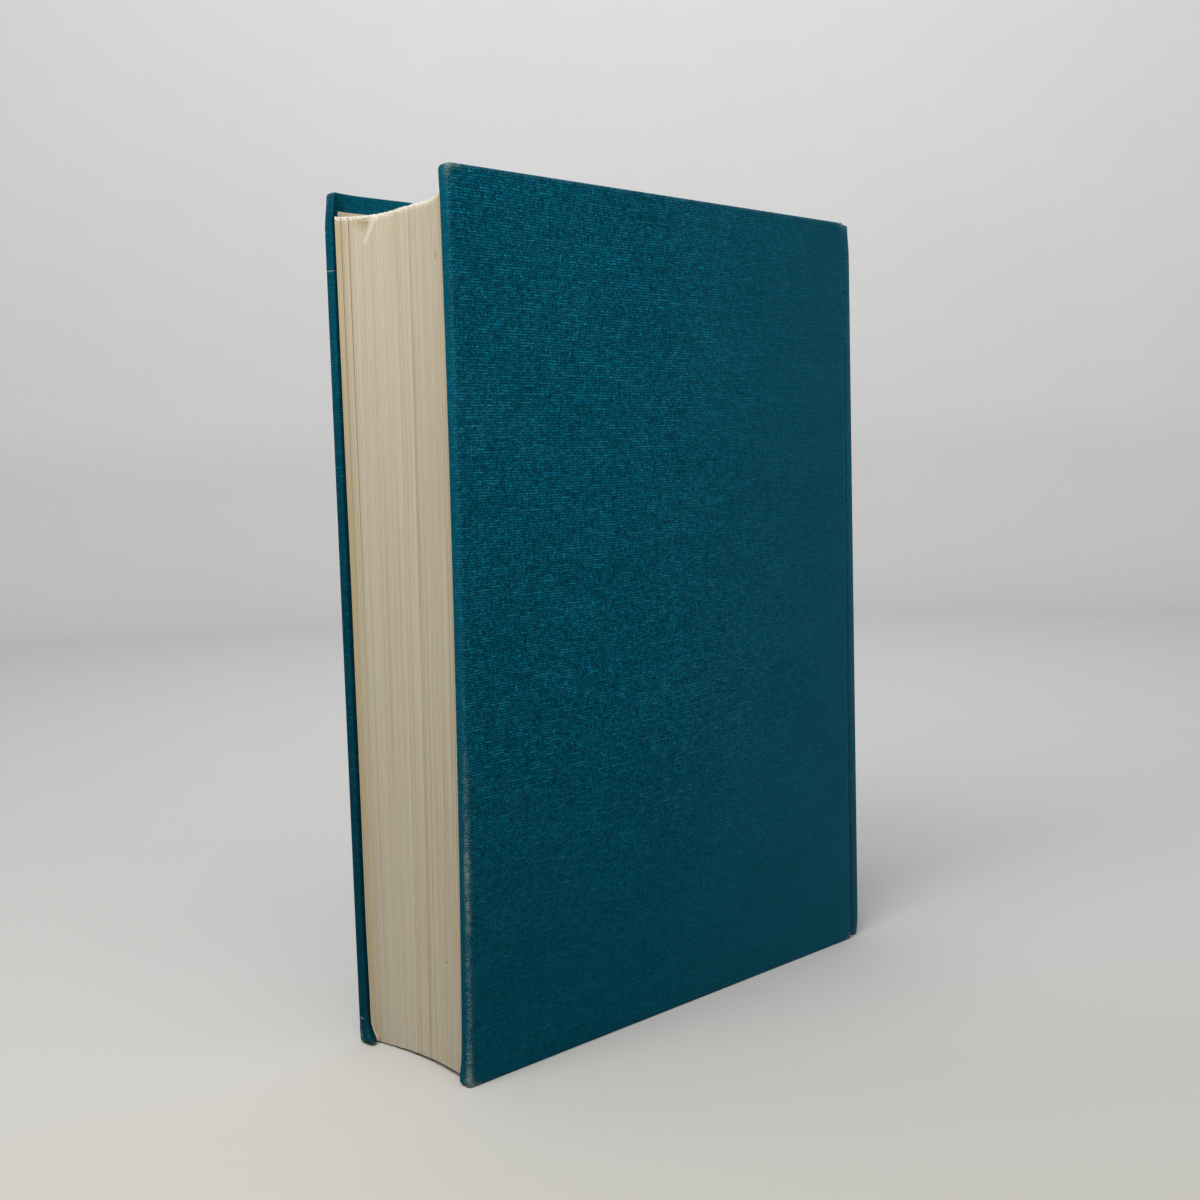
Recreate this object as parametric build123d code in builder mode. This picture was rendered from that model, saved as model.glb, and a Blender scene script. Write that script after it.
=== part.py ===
from build123d import *
from math import acos, atan, degrees, radians, sin
import os

# Case-bound hardcover book standing on its tail edge.
# The spine faces -X, the fore edge +X, the front cover -Y and the back cover +Y.
# The origin is under the middle of the book's box. All sizes are in millimetres.

# Covers
cover_height = 240.0            # over the cloth, tail to head
cover_width = 166.0             # over the cloth, joint edge to fore edge
book_thickness = 51.0           # over both covers at the spine
head_flare = 5.0                # how far the back board's fore edge springs out at its head
fore_bow = 1.4                  # how far the back board's fore edge bows out at mid-height
board_thickness = 2.2
cloth_thickness = 0.35
turn_in = 15.0                  # cloth folded over the board's inner edges
corner_round = 2.0              # rubbed corners at the fore edge
edge_round = 0.6                # cloth rolled over the board's outer edges

# Endpapers
endpaper_thickness = 0.2
pastedown_inset = 2.1           # cloth left bare at the fore edge of the pastedown

# Block of leaves
head_square = 4.5               # cover's overhang above the leaves, at the spine
tail_square = 3.5               # cover's overhang below the leaves, at the spine
fore_edge_drop = 2.5            # how far the leaves sag at the fore edge
fore_edge_setback = 1.3         # leaves behind the covers' fore edge
fore_edge_hollow = 4.0          # depth of the hollow fore edge

# Rounded back and joints
joint_width = 4.2               # board's joint edge to the crest of the shoulder
shoulder_drop = 1.0             # crest of the shoulder below the cover's face
block_shoulder_radius = 0.8
groove_radius = 1.4
spine_end_angle = 33.0          # between the rounded back and its chord, at the shoulder
inlay_thickness = 0.4
inlay_setback = 1.3             # inlay's long edges behind the crest of the shoulder
lining_thickness = 0.15
lining_margin = 2.0             # lining shorter than the leaves at head and tail
mull_thickness = 0.2
mull_margin = 14.0              # mull shorter than the leaves at head and tail
band_width = 1.6                # bead of the headband and the tailband
band_height = 1.5
band_bevel = 0.45               # long top edges of the bead

# Clearances
swing_clearance = 0.3           # cover to free endpaper, and cover to joint cloth
hollow_clearance = 0.15         # turned-in spine cloth to the lining
leaf_clearance = 0.15           # endpapers and mull to the block of leaves
glue_line = 0.15                # between layers that are glued together
cut_overrun = 0.5               # how far cuts run past the faces that they open

# Depths below a cover's outer face
board_near = cloth_thickness + glue_line
board_far = board_near + board_thickness
turn_near = board_far + glue_line
cloth_far = turn_near + cloth_thickness
flange_near = cloth_far + glue_line
pastedown_far = flange_near + endpaper_thickness
leaf_near = pastedown_far + swing_clearance
leaf_far = leaf_near + endpaper_thickness
block_near = leaf_far + leaf_clearance

# Depths below the spine cloth's face
inlay_near = cloth_thickness + glue_line
inlay_far = inlay_near + inlay_thickness
spine_turn_near = inlay_far + glue_line
spine_turn_far = spine_turn_near + cloth_thickness
lining_near = spine_turn_far + hollow_clearance
lining_far = lining_near + lining_thickness
mull_near = lining_far + glue_line
mull_far = mull_near + mull_thickness
spine_stack = mull_far + leaf_clearance

# Joint groove, from its floor to the crest of the shoulder
half_thickness = book_thickness / 2
groove_depth = block_near - spine_stack
shoulder_radius = block_shoulder_radius + spine_stack
rise_radii = groove_radius + shoulder_radius
rise_angle = degrees(acos(1 - (groove_depth - shoulder_drop) / rise_radii))
rise_start = joint_width - rise_radii * sin(radians(rise_angle))


def back_curve(depth):
    """Joint floors, shoulders and rounded back at a depth below the spine cloth's face."""
    floor_y = half_thickness - groove_depth - depth
    with BuildLine() as curve:
        floor = Line((0, floor_y), (-rise_start, floor_y))
        rise = JernArc(floor @ 1, floor % 1, groove_radius + depth, -rise_angle)
        crest_turn = rise_angle + 90 - spine_end_angle
        shoulder = JernArc(rise @ 1, rise % 1, shoulder_radius - depth, crest_turn)
        mirror(about=Plane.XZ)
        end = shoulder @ 1
        TangentArc(end, (end.X, -end.Y), tangent=shoulder % 1)
    return curve.line


# The origin lies under the middle of the whole book.
spine_reach = -back_curve(0).bounding_box().min.X
joint_x = (spine_reach - cover_width) / 2
fore_x = joint_x + cover_width
front_face_y = -(book_thickness + head_flare) / 2
back_face_y = front_face_y + book_thickness
spine_plane = Plane((joint_x, front_face_y + half_thickness, 0))

# The leaves hang between planes that dip towards the fore edge.
sag_angle = degrees(atan(fore_edge_drop / cover_width))
head_height = cover_height - head_square
block_height = head_height - tail_square
middle_height = (tail_square + head_height) / 2
tail_plane = spine_plane.offset(tail_square).rotated((0, sag_angle, 0))
middle_plane = spine_plane.offset(middle_height).rotated((0, sag_angle, 0))
head_plane = spine_plane.offset(head_height).rotated((0, sag_angle, 0))
leaf_width = cover_width - fore_edge_setback


def spring_at(width, height):
    """How far the back cover springs out at a distance from the joint and a height."""
    rise = height / cover_height
    return (head_flare * rise + fore_bow * 4 * rise * (1 - rise)) * width / cover_width


def cover_point(side, x, height, depth):
    """Point of a cover in the section at x, at a height and a depth below its outer face."""
    if side == "front":
        return (front_face_y + depth, height)
    return (back_face_y + spring_at(x - joint_x, height) - depth, height)


def cover_slab(side, near, far):
    """Sections past a cover's joint and fore edge, between two depths below its outer face."""
    heights = (-cut_overrun, cover_height / 2, cover_height + cut_overrun)
    sections = []
    for x in (joint_x - cut_overrun, fore_x + cut_overrun):
        with BuildSketch(Plane.YZ.offset(x)) as section:
            with BuildLine():
                near_tail, near_middle, near_head = [cover_point(side, x, z, near) for z in heights]
                far_tail, far_middle, far_head = [cover_point(side, x, z, far) for z in heights]
                if side == "back" and x > joint_x:
                    ThreePointArc(near_tail, near_middle, near_head)
                    ThreePointArc(far_tail, far_middle, far_head)
                else:
                    Line(near_tail, near_head)
                    Line(far_tail, far_head)
                Line(near_head, far_head)
                Line(far_tail, near_tail)
            make_face()
        sections.append(section.sketch)
    return sections


def cover_outline(margin, joint_margin=0.0, corner_radius=0.0):
    """Cover's outline from the side, inset from its edges, with rounded fore corners."""
    with BuildSketch(Plane.XZ) as outline:
        with Locations((fore_x - margin, cover_height / 2)):
            Rectangle(
                cover_width - margin - joint_margin,
                cover_height - 2 * margin,
                align=(Align.MAX, Align.CENTER),
            )
        if corner_radius > 0:
            fillet(outline.vertices().group_by(Axis.X)[-1], corner_radius)
    return outline.sketch


def cover_layer(side, near, far, outline):
    """One layer of a cover between two depths, cut to an outline."""
    with BuildPart() as layer:
        loft(cover_slab(side, near, far), ruled=True)
        extrude(outline, amount=book_thickness + head_flare, both=True, mode=Mode.INTERSECT)
    return layer.part


def spine_band(near, far, start, bottom):
    """Strip round the back between two depths, cut off short of the joints' edges."""
    with BuildSketch(spine_plane.offset(bottom)) as band:
        for depth, mode in ((near, Mode.ADD), (far, Mode.SUBTRACT)):
            floor_y = half_thickness - groove_depth - depth
            with BuildLine():
                add(back_curve(depth))
                Line((0, floor_y), (0, -floor_y))
            make_face(mode=mode)
        with Locations((-start, 0)):
            Rectangle(
                spine_reach,
                book_thickness,
                align=(Align.MAX, Align.CENTER),
                mode=Mode.INTERSECT,
            )
    return band.sketch


def leaf_section(plane):
    """Outline of the leaves from above: rounded back, two sides and hollow fore edge."""
    side_y = half_thickness - block_near
    fore_height = plane.from_local_coords((leaf_width, 0)).Z
    flared_y = side_y + spring_at(leaf_width, fore_height)
    with BuildSketch(plane) as section:
        with BuildLine():
            add(back_curve(spine_stack))
            back_side = Line((0, side_y), (leaf_width, flared_y))
            front_side = Line((0, -side_y), (leaf_width, -side_y))
            hollow = (leaf_width - fore_edge_hollow, (flared_y - side_y) / 2)
            ThreePointArc(back_side @ 1, hollow, front_side @ 1)
        make_face()
    return section.sketch


def write_piece(part, name):
    """Names a piece and writes it."""
    part.label = name
    export_step(part, f"parts/{name}.step")


os.makedirs("parts", exist_ok=True)

# Covers: a board, the cloth wrapped round its edges, and the pastedown over the turned-in cloth
for side in ("front", "back"):
    with BuildPart() as board:
        board_outline = cover_outline(board_near, board_near, corner_round)
        add(cover_layer(side, board_near, board_far, board_outline))

    with BuildPart() as cover_cloth:
        add(cover_layer(side, 0, cloth_far, cover_outline(0, 0, corner_round)))
        outer_face = cover_cloth.faces().sort_by(Axis.Y)[-1 if side == "back" else 0]
        fillet(outer_face.edges(), edge_round)
        pocket_outline = cover_outline(cloth_thickness, cloth_thickness, corner_round)
        add(cover_layer(side, cloth_thickness, turn_near, pocket_outline), mode=Mode.SUBTRACT)
        window_outline = cover_outline(turn_in, cloth_thickness)
        window = cover_layer(side, board_far, cloth_far + cut_overrun, window_outline)
        add(window, mode=Mode.SUBTRACT)

    with BuildPart() as pastedown:
        with BuildSketch(Plane.XZ) as sheet_outline:
            with Locations((fore_x - pastedown_inset, tail_square)):
                Rectangle(
                    cover_width - pastedown_inset - board_near,
                    block_height,
                    align=(Align.MAX, Align.MIN),
                )
        add(cover_layer(side, turn_near, pastedown_far, sheet_outline.sketch))
        with BuildSketch(Plane.XZ) as frame_outline:
            add(cover_outline(0))
            add(cover_outline(turn_in), mode=Mode.SUBTRACT)
        frame = cover_layer(side, board_far, flange_near, frame_outline.sketch)
        add(frame, mode=Mode.SUBTRACT)
        dish_outline = cover_outline(turn_in + endpaper_thickness)
        dish_near = turn_near + endpaper_thickness
        dish = cover_layer(side, dish_near, pastedown_far + cut_overrun, dish_outline)
        add(dish, mode=Mode.SUBTRACT)

    write_piece(board.part, f"{side}_board")
    write_piece(cover_cloth.part, f"{side}_cover_cloth")
    write_piece(pastedown.part, f"{side}_pastedown")

# Block of leaves: rounded and backed at the spine, hollow at the fore edge, sagging and sprung
with BuildPart() as text_block:
    loft([leaf_section(plane) for plane in (tail_plane, middle_plane, head_plane)])
write_piece(text_block.part, "text_block")

# Free endpapers: the first and last leaf, tipped to the block at the joint
for side in ("front", "back"):
    with BuildPart() as free_endpaper:
        loft(cover_slab(side, leaf_near, leaf_far), ruled=True)
        with BuildSketch(Plane.XZ) as leaf_outline:
            with BuildLine():
                fore_tail = tail_square - fore_edge_drop
                Polyline(
                    (joint_x, tail_square),
                    (joint_x + leaf_width, fore_tail),
                    (joint_x + leaf_width, fore_tail + block_height),
                    (joint_x, head_height),
                    close=True,
                )
            make_face()
        extrude(amount=book_thickness + head_flare, both=True, mode=Mode.INTERSECT)
    write_piece(free_endpaper.part, f"{side}_free_endpaper")

# Headband and tailband: beads along the rounded back, seated on the ends of the leaves
for name, plane, up in (
    ("headband", head_plane, head_plane.z_dir),
    ("tailband", tail_plane, -tail_plane.z_dir),
):
    with BuildPart() as band:
        path = plane.location * back_curve(spine_stack).edges().sort_by(Axis.X)[0]
        inward = plane.location.position - path @ 0.5
        with BuildSketch(Plane(path @ 0.5, inward, inward.cross(up))) as bead:
            Rectangle(band_width, band_height, align=(Align.MIN, Align.MIN))
            chamfer(bead.vertices().group_by(Axis.Y)[-1], band_bevel)
        sweep(path=path)
    write_piece(band.part, name)

# Mull: open gauze glued over the back and the shoulders
with BuildPart() as mull:
    mull_bottom = tail_square + mull_margin
    extrude(
        spine_band(mull_near, mull_far, rise_start, mull_bottom),
        amount=block_height - 2 * mull_margin,
    )
write_piece(mull.part, "mull")

# Spine lining: paper glued over the mull, between the shoulders
inlay_start = joint_width + inlay_setback
with BuildPart() as spine_lining:
    lining_bottom = tail_square + lining_margin
    extrude(
        spine_band(lining_near, lining_far, inlay_start, lining_bottom),
        amount=block_height - 2 * lining_margin,
    )
write_piece(spine_lining.part, "spine_lining")

# Spine inlay: card strip that stiffens the hollow back
with BuildPart() as spine_inlay:
    extrude(
        spine_band(inlay_near, inlay_far, inlay_start + glue_line, inlay_near),
        amount=cover_height - 2 * inlay_near,
    )
write_piece(spine_inlay.part, "spine_inlay")

# Spine cloth: over the back and into the joints, turned in round the inlay at head and tail
with BuildPart() as spine_cloth:
    extrude(spine_band(0, cloth_thickness, swing_clearance, 0), amount=cover_height)
    for fold, bottom in (
        (0, 0),
        (cover_height - cloth_thickness, cover_height - turn_in),
    ):
        extrude(spine_band(0, spine_turn_far, inlay_start, fold), amount=cloth_thickness)
        extrude(spine_band(spine_turn_near, spine_turn_far, inlay_start, bottom), amount=turn_in)
write_piece(spine_cloth.part, "spine_cloth")
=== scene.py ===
import math

import bpy
import numpy as np
from mathutils import Matrix, Vector


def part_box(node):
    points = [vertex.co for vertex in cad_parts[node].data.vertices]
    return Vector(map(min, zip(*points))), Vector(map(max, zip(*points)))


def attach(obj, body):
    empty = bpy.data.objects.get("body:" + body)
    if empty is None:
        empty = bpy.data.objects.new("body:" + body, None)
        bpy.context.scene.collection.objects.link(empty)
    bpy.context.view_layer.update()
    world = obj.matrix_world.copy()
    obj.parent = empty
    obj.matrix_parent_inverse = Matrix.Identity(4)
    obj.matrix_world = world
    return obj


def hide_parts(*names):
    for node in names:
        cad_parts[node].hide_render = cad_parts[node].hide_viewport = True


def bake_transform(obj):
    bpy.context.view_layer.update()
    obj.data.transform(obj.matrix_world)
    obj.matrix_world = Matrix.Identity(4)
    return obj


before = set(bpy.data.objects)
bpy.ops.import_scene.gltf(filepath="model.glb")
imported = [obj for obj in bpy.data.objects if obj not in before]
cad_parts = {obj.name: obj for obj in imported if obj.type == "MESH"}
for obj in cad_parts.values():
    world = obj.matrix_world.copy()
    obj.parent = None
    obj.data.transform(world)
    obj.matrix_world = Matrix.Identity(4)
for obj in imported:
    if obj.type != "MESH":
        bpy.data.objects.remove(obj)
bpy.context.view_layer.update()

MM = 0.001
rng = np.random.default_rng(41)

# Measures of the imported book, in millimetres
case_low, case_high = (np.array(c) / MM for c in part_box("front_cover_cloth"))
JOINT_X, FORE_X = case_low[0], case_high[0]
WIDTH, HEIGHT = FORE_X - JOINT_X, case_high[2]
FRONT_Y, COVER_DEPTH = case_low[1], case_high[1] - case_low[1]
THICKNESS = 51.0  # over both covers at the spine
BACK_Y = FRONT_Y + THICKNESS
SPINE_Y = (FRONT_Y + BACK_Y) / 2
HALF = THICKNESS / 2
FLARE, BOW = 5.0, 1.4  # back board's fore edge: sprung out at the head, bowed between
FRONT_TWIST, FRONT_LEAN = 0.75, 0.4  # front board's slight warp at its fore edge
CLOTH, TURN_IN = 0.35, 15.0  # cloth's thickness, and its width over the boards' inner edges
CORNER = {"front": 1.0, "back": 1.6}  # radius of the covers' fore corners
JOINT_CORNER = 0.3

# Depths below a cover's outer face
BOARD_IN, BOARD_OUT = 0.5, 2.7
TURN_IN_TOP = 2.85
PASTE_NEAR, PAPER = 3.35, 0.2
LEAF_IN = 3.85
BLOCK_IN = 4.2

# Leaves and endpapers
PASTE_INSET = 2.1  # cloth left bare at the fore edge of the pastedown
LEAF_WIDTH = 164.7
LEAF_STACK = 43.0  # about how thick all the leaves are
HEAD_Z, TAIL_Z = 235.5, 3.5  # ends of the leaves at the spine
SAG, PASTE_SAG = 2.5, 0.5  # drop at the fore edge
BACK_CREST_X, BACK_ROUND = -87.5, 6.2

# Rounded back and joints
JOINT_WIDTH, GROOVE_DEPTH, SHOULDER_DROP = 4.2, 2.0, 1.0
GROOVE_RADIUS, SHOULDER_RADIUS = 1.4, 3.0
BACK_ANGLE = math.radians(33.0)

WANDER_KNOTS, WANDER_START = 4096, 1000


def smooth(edge0, edge1, value):
    """Smooth step from 0 at edge0 to 1 at edge1."""
    t = np.clip((value - edge0) / (edge1 - edge0), 0, 1)
    return t * t * (3 - 2 * t)


def wander(values, pitch, seed):
    """Smooth random curve between -1 and 1 with bends about every pitch."""
    knots = np.random.default_rng(seed).uniform(-1, 1, WANDER_KNOTS)
    s = np.asarray(values) / pitch + WANDER_START
    i = np.floor(s).astype(int)
    f = s - i
    f = f * f * (3 - 2 * f)
    return knots[i % WANDER_KNOTS] * (1 - f) + knots[(i + 1) % WANDER_KNOTS] * f


def make_piece(name, verts, faces, material, attributes=None, shade_smooth=True):
    """Mesh object from points in millimetres, with named point attributes."""
    mesh = bpy.data.meshes.new(name)
    mesh.from_pydata((np.asarray(verts) * MM).tolist(), [], faces)
    for key, values in (attributes or {}).items():
        values = np.asarray(values, np.float32)
        vector = values.ndim == 2
        layer = mesh.attributes.new(key, "FLOAT_VECTOR" if vector else "FLOAT", "POINT")
        layer.data.foreach_set("vector" if vector else "value", values.ravel())
    mesh.polygons.foreach_set("use_smooth", [shade_smooth] * len(mesh.polygons))
    mesh.materials.append(material)
    mesh.update()
    obj = bpy.data.objects.new(name, mesh)
    bpy.context.scene.collection.objects.link(obj)
    return obj


def tube_faces(rows, size, flip=False):
    """Faces between closed rows of points that have the same size."""
    faces = []
    for i in range(rows - 1):
        for k in range(size):
            n = (k + 1) % size
            quad = (i * size + k, (i + 1) * size + k, (i + 1) * size + n, i * size + n)
            faces.append(quad[::-1] if flip else quad)
    return faces


class Shader:
    """Small helper that wires a material's nodes."""

    def __init__(self, name):
        self.material = bpy.data.materials.new(name)
        self.material.use_nodes = True
        self.tree = self.material.node_tree
        self.surface = self.tree.nodes["Principled BSDF"]

    def node(self, kind, **settings):
        made = self.tree.nodes.new(kind)
        for key, value in settings.items():
            setattr(made, key, value)
        return made

    def feed(self, socket, value):
        if isinstance(value, bpy.types.NodeSocket):
            self.tree.links.new(value, socket)
        else:
            socket.default_value = value

    def attribute(self, name, vector=False):
        made = self.node("ShaderNodeAttribute", attribute_name=name)
        return made.outputs["Vector" if vector else "Fac"]

    def place(self):
        return self.node("ShaderNodeTexCoord").outputs["Object"]

    def stretch(self, vector, scale, offset=(0, 0, 0)):
        made = self.node("ShaderNodeMapping")
        self.feed(made.inputs["Vector"], vector)
        made.inputs["Scale"].default_value = scale
        made.inputs["Location"].default_value = offset
        return made.outputs["Vector"]

    def noise(self, vector, scale=1.0, detail=2.0, roughness=0.5):
        made = self.node("ShaderNodeTexNoise")
        self.feed(made.inputs["Vector"], vector)
        made.inputs["Scale"].default_value = scale
        made.inputs["Detail"].default_value = detail
        made.inputs["Roughness"].default_value = roughness
        return made.outputs["Fac"]

    def chance(self, vector):
        made = self.node("ShaderNodeTexWhiteNoise", noise_dimensions="2D")
        self.feed(made.inputs["Vector"], vector)
        return made.outputs["Value"]

    def math(self, operation, a, b=0.0):
        made = self.node("ShaderNodeMath", operation=operation)
        self.feed(made.inputs[0], a)
        self.feed(made.inputs[1], b)
        return made.outputs[0]

    def times(self, a, b):
        return self.math("MULTIPLY", a, b)

    def plus(self, a, b):
        return self.math("ADD", a, b)

    def minus(self, a, b):
        return self.math("SUBTRACT", a, b)

    def oval(self, x, y, spot):
        """Squared distance from a spot's middle, which is 1 at its rim."""
        middle_x, middle_y, half_width, half_height = spot
        dx = self.math("DIVIDE", self.minus(x, middle_x), half_width)
        dy = self.math("DIVIDE", self.minus(y, middle_y), half_height)
        return self.plus(self.times(dx, dx), self.times(dy, dy))

    def span(self, value, low, high, to_low=0.0, to_high=1.0):
        made = self.node("ShaderNodeMapRange", clamp=True)
        self.feed(made.inputs["Value"], value)
        made.inputs["From Min"].default_value = low
        made.inputs["From Max"].default_value = high
        made.inputs["To Min"].default_value = to_low
        made.inputs["To Max"].default_value = to_high
        return made.outputs["Result"]

    def mix(self, factor, a, b, blend="MIX"):
        made = self.node("ShaderNodeMix", data_type="RGBA", blend_type=blend)
        self.feed(made.inputs["Factor"], factor)
        for socket, value in ((made.inputs[6], a), (made.inputs[7], b)):
            self.feed(socket, value if isinstance(value, bpy.types.NodeSocket) else (*value, 1))
        return made.outputs[2]

    def split(self, vector):
        made = self.node("ShaderNodeSeparateXYZ")
        self.feed(made.inputs[0], vector)
        return made.outputs

    def join(self, x, y, z=0.0):
        made = self.node("ShaderNodeCombineXYZ")
        for socket, value in zip(made.inputs, (x, y, z)):
            self.feed(socket, value)
        return made.outputs[0]

    def bump(self, height, strength, distance_mm):
        made = self.node("ShaderNodeBump")
        made.inputs["Strength"].default_value = strength
        made.inputs["Distance"].default_value = distance_mm * MM
        self.feed(made.inputs["Height"], height)
        self.feed(self.surface.inputs["Normal"], made.outputs["Normal"])

    def finish(self, color, roughness=0.8, specular=0.2, sheen=0.0):
        self.feed(self.surface.inputs["Base Color"], color)
        self.feed(self.surface.inputs["Roughness"], roughness)
        self.feed(self.surface.inputs["Specular IOR Level"], specular)
        self.feed(self.surface.inputs["Sheen Weight"], sheen)
        return self.material


WEFT_PITCH, WARP_PITCH = 0.74, 0.42
SPINE_WEAVE = 300.0  # where the spine's cloth starts along the weave

CLOTH_DEEP, CLOTH_LIT = (0.0016, 0.083, 0.137), (0.0027, 0.093, 0.152)
# First colour below is painted shade for the lower cover; the second is the pale slub threads
CLOTH_PAINTED_SHADE, CLOTH_THREAD = (0.0006, 0.020, 0.030), (0.016, 0.22, 0.29)
CLOTH_RUBBED, CLOTH_BARE, CLOTH_NICK = (0.075, 0.155, 0.170), (0.24, 0.27, 0.23), (0.20, 0.30, 0.33)

# Pale nicks on the front board's fore edge: place along the weave, half width, half height
FRONT_NICKS = (
    (FORE_X + 1.5, 219.0, 2.4, 0.25),
    (FORE_X + 0.2, 229.6, 0.45, 0.4),
    (FORE_X + 1.0, 6.7, 1.0, 0.25),
)


def cloth_material():
    """Teal book cloth: slubbed weft, finer warp, burnished at spine and tail, pale where it is rubbed,
    with painted shade towards the tail and the fore edge.
    """
    s = Shader("teal book cloth")
    weave = s.attribute("weave", vector=True)
    wear = s.attribute("wear")
    shade = s.attribute("shade")
    u, v, front = s.split(weave)
    sway = s.noise(s.stretch(weave, (0.02, 0.02, 1), (5, 2, 0)), detail=1)
    lay = s.plus(s.times(v, 1 / WEFT_PITCH), sway)
    row, crest = s.math("FLOOR", lay), s.math("PINGPONG", lay, 0.5)
    column = s.math("FLOOR", s.times(u, 1 / WARP_PITCH))
    weft = s.noise(s.join(s.times(u, 0.30), s.times(row, 7.31)), detail=3, roughness=0.65)
    slub = s.noise(s.join(s.times(u, 0.19), s.times(row, 3.73)), detail=2)
    warp = s.noise(s.join(s.times(column, 5.17), s.times(v, 0.26)), detail=2, roughness=0.65)
    grain = s.chance(s.join(column, s.math("FLOOR", s.times(lay, 2))))
    blotch = s.noise(s.stretch(weave, (0.03, 0.05, 1), (1, 4, 0)), detail=3, roughness=0.6)
    from_spine = s.span(u, JOINT_X + 10, JOINT_X + 85, 0.32, 1.0)
    from_tail = s.span(v, 25, 95, 0.36, 1.0)
    crisp = s.times(from_spine, from_tail)
    over_fore = s.span(u, FORE_X - 1, FORE_X + 1.5, 1, 0.45)
    over_head = s.span(v, HEIGHT - 1, HEIGHT + 1.5, 1, 0.45)
    crisp = s.times(crisp, s.math("MINIMUM", over_fore, over_head))
    ground = s.mix(s.span(blotch, 0.35, 0.65), CLOTH_DEEP, CLOTH_LIT)
    # Painted shade: the cloth darkens towards the tail, more so towards the fore edge
    painted_low_shade = s.times(s.span(v, 190, 20), s.span(u, JOINT_X, FORE_X, 0.14, 0.40))
    ground = s.mix(painted_low_shade, ground, CLOTH_PAINTED_SHADE)
    threads = s.times(crest, s.span(weft, 0.3, 0.7, 0, 2.6))
    threads = s.times(threads, s.span(grain, 0, 1, 0.5, 1.5))
    tone = s.plus(threads, s.times(s.span(warp, 0.3, 0.7), 0.7))
    tone = s.plus(tone, s.times(grain, 0.9))
    tone = s.times(s.minus(tone, 1.15), s.times(crisp, 1.3))
    # The shade attribute scales the colour: painted shade and painted light, and fading and rubbing at
    # the joint
    color = s.mix(1.0, ground, s.times(s.math("POWER", 2.0, tone), shade), "MULTIPLY")
    thin = s.span(crest, 0.22, 0.5)
    dash = s.times(s.times(s.span(slub, 0.57, 0.68), thin), crisp)
    color = s.mix(dash, color, CLOTH_THREAD)
    speck = s.noise(s.stretch(weave, (3.2, 2.6, 1), (8, 3, 0)), detail=2, roughness=0.7)
    patch = s.noise(s.stretch(weave, (0.6, 0.45, 1), (6, 1, 0)), detail=2)
    worn = s.times(wear, s.span(patch, 0.35, 0.65, 0.6, 1.25))
    bare = s.minus(worn, s.times(s.span(speck, 0.38, 0.62), 0.8))
    color = s.mix(s.span(bare, -0.06, 0.18, 0, 0.85), color, CLOTH_RUBBED)
    color = s.mix(s.span(bare, 0.12, 0.42, 0, 0.75), color, CLOTH_BARE)
    for nick in FRONT_NICKS:
        pale = s.times(s.span(s.oval(u, v, nick), 1.0, 0.4, 0, 0.7), front)
        color = s.mix(pale, color, CLOTH_NICK)
    s.bump(threads, 0.5, 0.12)
    on_spine = s.span(u, SPINE_WEAVE - 10, SPINE_WEAVE - 1, 0, 0.16)
    polish = s.plus(s.span(u, JOINT_X, JOINT_X + 110, 0.07, 0.0), on_spine)
    return s.finish(color, s.span(grain, 0, 1, 0.72, 0.88), polish)


# Crease in the leaves near the head: its tip across them, its length, and its drift and width at the head
CREASE_TIP, CREASE_REACH, CREASE_DRIFT, CREASE_SPREAD = 0.178, 8.2, 0.04, 0.095
CREASE_LEAST = 0.004

PAGE_DULL, PAGE_PALE = (0.62, 0.56, 0.45), (0.69, 0.64, 0.53)
PAGE_LINE, PAGE_SEAM = (0.42, 0.34, 0.22), (0.30, 0.25, 0.18)
PAGE_STAIN, PAGE_RIM, PAGE_SPECK = (0.54, 0.43, 0.26), (0.50, 0.39, 0.21), (0.13, 0.11, 0.08)
# Painted shade beside the crease and painted highlight on its facet, then painted highlight along the
# head
PAGE_CREASE_SHADE, PAGE_CREASE_HIGHLIGHT, PAGE_HEAD_HIGHLIGHT = (0.42, 0.31, 0.17), (0.84, 0.80, 0.71), (0.94, 0.90, 0.81)

# Dark specks on the leaves: place across them and height, half width, half height
LEAF_SPECKS = ((0.88, 218.6, 0.008, 1.5), (0.79, 31.0, 0.030, 0.25))


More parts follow.
